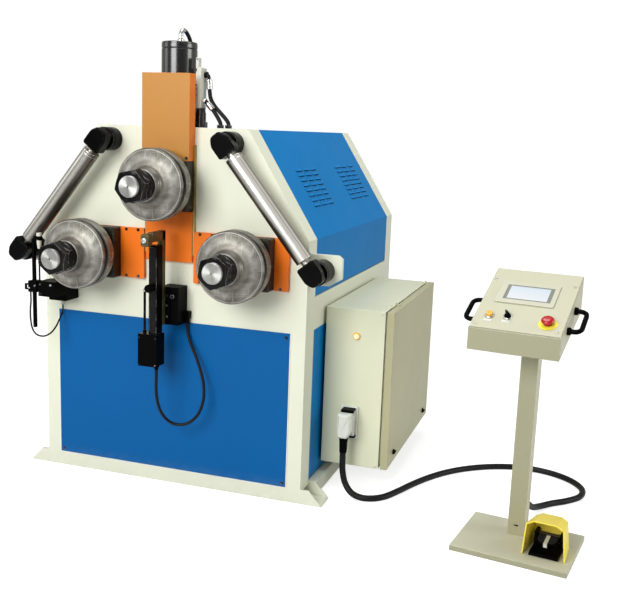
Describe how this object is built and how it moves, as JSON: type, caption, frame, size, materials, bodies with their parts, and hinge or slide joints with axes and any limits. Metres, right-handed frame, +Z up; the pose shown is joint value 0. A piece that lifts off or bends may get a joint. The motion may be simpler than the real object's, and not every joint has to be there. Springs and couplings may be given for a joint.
{
  "type": "three-roll tube bender",
  "caption": "Floor-standing three-roll tube bender with a hydraulic ram, grooved rolls, stay bars, control cabinet, separate sloping control stand and guarded foot switch.",
  "frame": {"origin": "middle of the underside of the front foot, on the floor", "axes": "+Z up; the rolls face -Y; +X runs along the front towards the control stand"},
  "size_m": [2.1299, 1.5241, 1.6515],
  "materials": {
    "cream_paint": "smooth light grey-green paint",
    "blue_paint": "smooth blue paint",
    "orange_paint": "smooth orange paint",
    "turned_steel": "turned and lightly oiled",
    "faced_steel": "faced and ground",
    "hard_chrome": "ground and plated",
    "black_oxide": "blackened steel",
    "dark_steel": "dark machined steel",
    "brass": "machined",
    "black_paint": "gloss black paint",
    "tinted_steel": "dark tinted steel",
    "black_plastic": "matt black",
    "white_plastic": "matt off-white",
    "black_rubber": "matt black",
    "grey_casting": "painted casting",
    "light_grey": "matt light grey",
    "red_plastic": "gloss red",
    "amber_plastic": "gloss amber",
    "yellow_plastic": "yellow",
    "screen_bezel": "matt cream"
  },
  "bodies": {
    "machine": {"front_frame": "cream_paint", "rear_frame": "cream_paint", "upper_cover": "blue_paint", "lower_side_tray": "blue_paint", "front_panel": "blue_paint", "rear_panel": "blue_paint", "ram_guide": "brass", "cylinder_barrel": "black_paint", "valve_block": "white_plastic", "upper_hose": "black_rubber", "lower_hose": "black_rubber", "cylinder_hose": "black_rubber", "left_stay_bar": "hard_chrome", "right_stay_bar": "hard_chrome", "lower_twin_drive": "grey_casting", "power_unit": "grey_casting", "probe_mount": "black_plastic", "feeler_bracket": "black_plastic", "feeler_cable": "black_rubber", "cabinet_body": "cream_paint", "pilot_lamp": "amber_plastic", "control_gear": "light_grey", "lead_connector": "light_grey", "control_lead": "black_rubber", "stand_base_and_post": "cream_paint", "console_body": "cream_paint", "console_lid": "cream_paint", "screen_bezel": "screen_bezel", "left_console_handle": "black_plastic", "right_console_handle": "black_plastic", "foot_guard": "yellow_plastic", "foot_switch_base": "black_plastic", "left_bearing_block": "dark_steel", "left_slot_plate": "orange_paint", "right_bearing_block": "dark_steel", "right_slot_plate": "orange_paint"},
    "ram": {"ram_slide": "dark_steel", "ram_lower_plate": "orange_paint", "ram_upper_cover": "orange_paint", "top_roll_drive": "grey_casting"},
    "top_roll_group": {"top_shaft": "faced_steel", "top_roll": "turned_steel", "top_lock_nuts": "black_oxide"},
    "left_roll_group": {"left_shaft": "faced_steel", "left_roll": "turned_steel", "left_lock_nuts": "black_oxide"},
    "right_roll_group": {"right_shaft": "faced_steel", "right_roll": "turned_steel", "right_lock_nuts": "black_oxide"},
    "probe": {"probe_bar": "black_plastic", "probe_arm": "tinted_steel", "probe_cable": "black_rubber"},
    "feeler_wheel": {"feeler_wheel": "white_plastic"},
    "cabinet_door": {"cabinet_door": "cream_paint"},
    "front_latch": {"front_latch": "black_plastic"},
    "rear_latch": {"rear_latch": "black_plastic"},
    "start_button": {"start_button": "amber_plastic"},
    "selector_knob": {"selector_knob": "black_plastic"},
    "stop_button": {"stop_button": "red_plastic"},
    "foot_pedal": {"foot_pedal": "dark_steel"}
  },
  "joints": [
    {"name": "ram_slide", "type": "slide", "parent": "machine", "child": "ram", "axis": [0, 0, 1], "range_m": [-0.08, 0]},
    {"name": "top_roll_spin", "type": "hinge", "parent": "ram", "child": "top_roll_group", "pos_m": [0, -0.045, 1.115], "axis": [0, 1, 0], "continuous": true},
    {"name": "left_roll_spin", "type": "hinge", "parent": "machine", "child": "left_roll_group", "pos_m": [-0.2975, -0.045, 0.857], "axis": [0, 1, 0], "continuous": true},
    {"name": "right_roll_spin", "type": "hinge", "parent": "machine", "child": "right_roll_group", "pos_m": [0.2975, -0.045, 0.857], "axis": [0, 1, 0], "continuous": true},
    {"name": "probe_slide", "type": "slide", "parent": "machine", "child": "probe", "axis": [0, 0, 1], "range_m": [-0.08, 0]},
    {"name": "feeler_wheel_spin", "type": "hinge", "parent": "machine", "child": "feeler_wheel", "pos_m": [-0.452, -0.182, 0.8935], "axis": [0, 0, 1], "continuous": true},
    {"name": "cabinet_door_hinge", "type": "hinge", "parent": "machine", "child": "cabinet_door", "pos_m": [0.7552, 0.1583, 0.6908], "axis": [0, -1, 0], "range_deg": [0, 110]},
    {"name": "front_latch_turn", "type": "hinge", "parent": "cabinet_door", "child": "front_latch", "pos_m": [0.784, 0.255, 0.135], "axis": [1, 0, 0], "range_deg": [0, 90]},
    {"name": "rear_latch_turn", "type": "hinge", "parent": "cabinet_door", "child": "rear_latch", "pos_m": [0.784, 0.81, 0.135], "axis": [1, 0, 0], "range_deg": [0, 90]},
    {"name": "start_button_press", "type": "slide", "parent": "machine", "child": "start_button", "axis": [0.0639, 0.4267, -0.9022], "range_m": [0, 0.004], "stiffness_N_per_m": 300, "springref_m": -0.004},
    {"name": "selector_turn", "type": "hinge", "parent": "machine", "child": "selector_knob", "pos_m": [1.20273, -0.11734, 0.76536], "axis": [-0.0639, -0.4267, 0.9022], "range_deg": [-45, 45]},
    {"name": "stop_button_press", "type": "slide", "parent": "machine", "child": "stop_button", "axis": [0.0639, 0.4267, -0.9022], "range_m": [0, 0.005], "stiffness_N_per_m": 800, "springref_m": -0.003},
    {"name": "foot_pedal_hinge", "type": "hinge", "parent": "machine", "child": "foot_pedal", "pos_m": [1.38673, -0.09461, 0.062], "axis": [0.989, -0.1481, 0], "range_deg": [0, 8.6], "stiffness_Nm_per_rad": 4, "springref_deg": -5.73}
  ],
  "couplings": [
    {"joint": "top_roll_spin", "follows": "left_roll_spin", "ratio": -1},
    {"joint": "right_roll_spin", "follows": "left_roll_spin", "ratio": 1},
    {"joint": "probe_slide", "follows": "ram_slide", "ratio": 1}
  ]
}
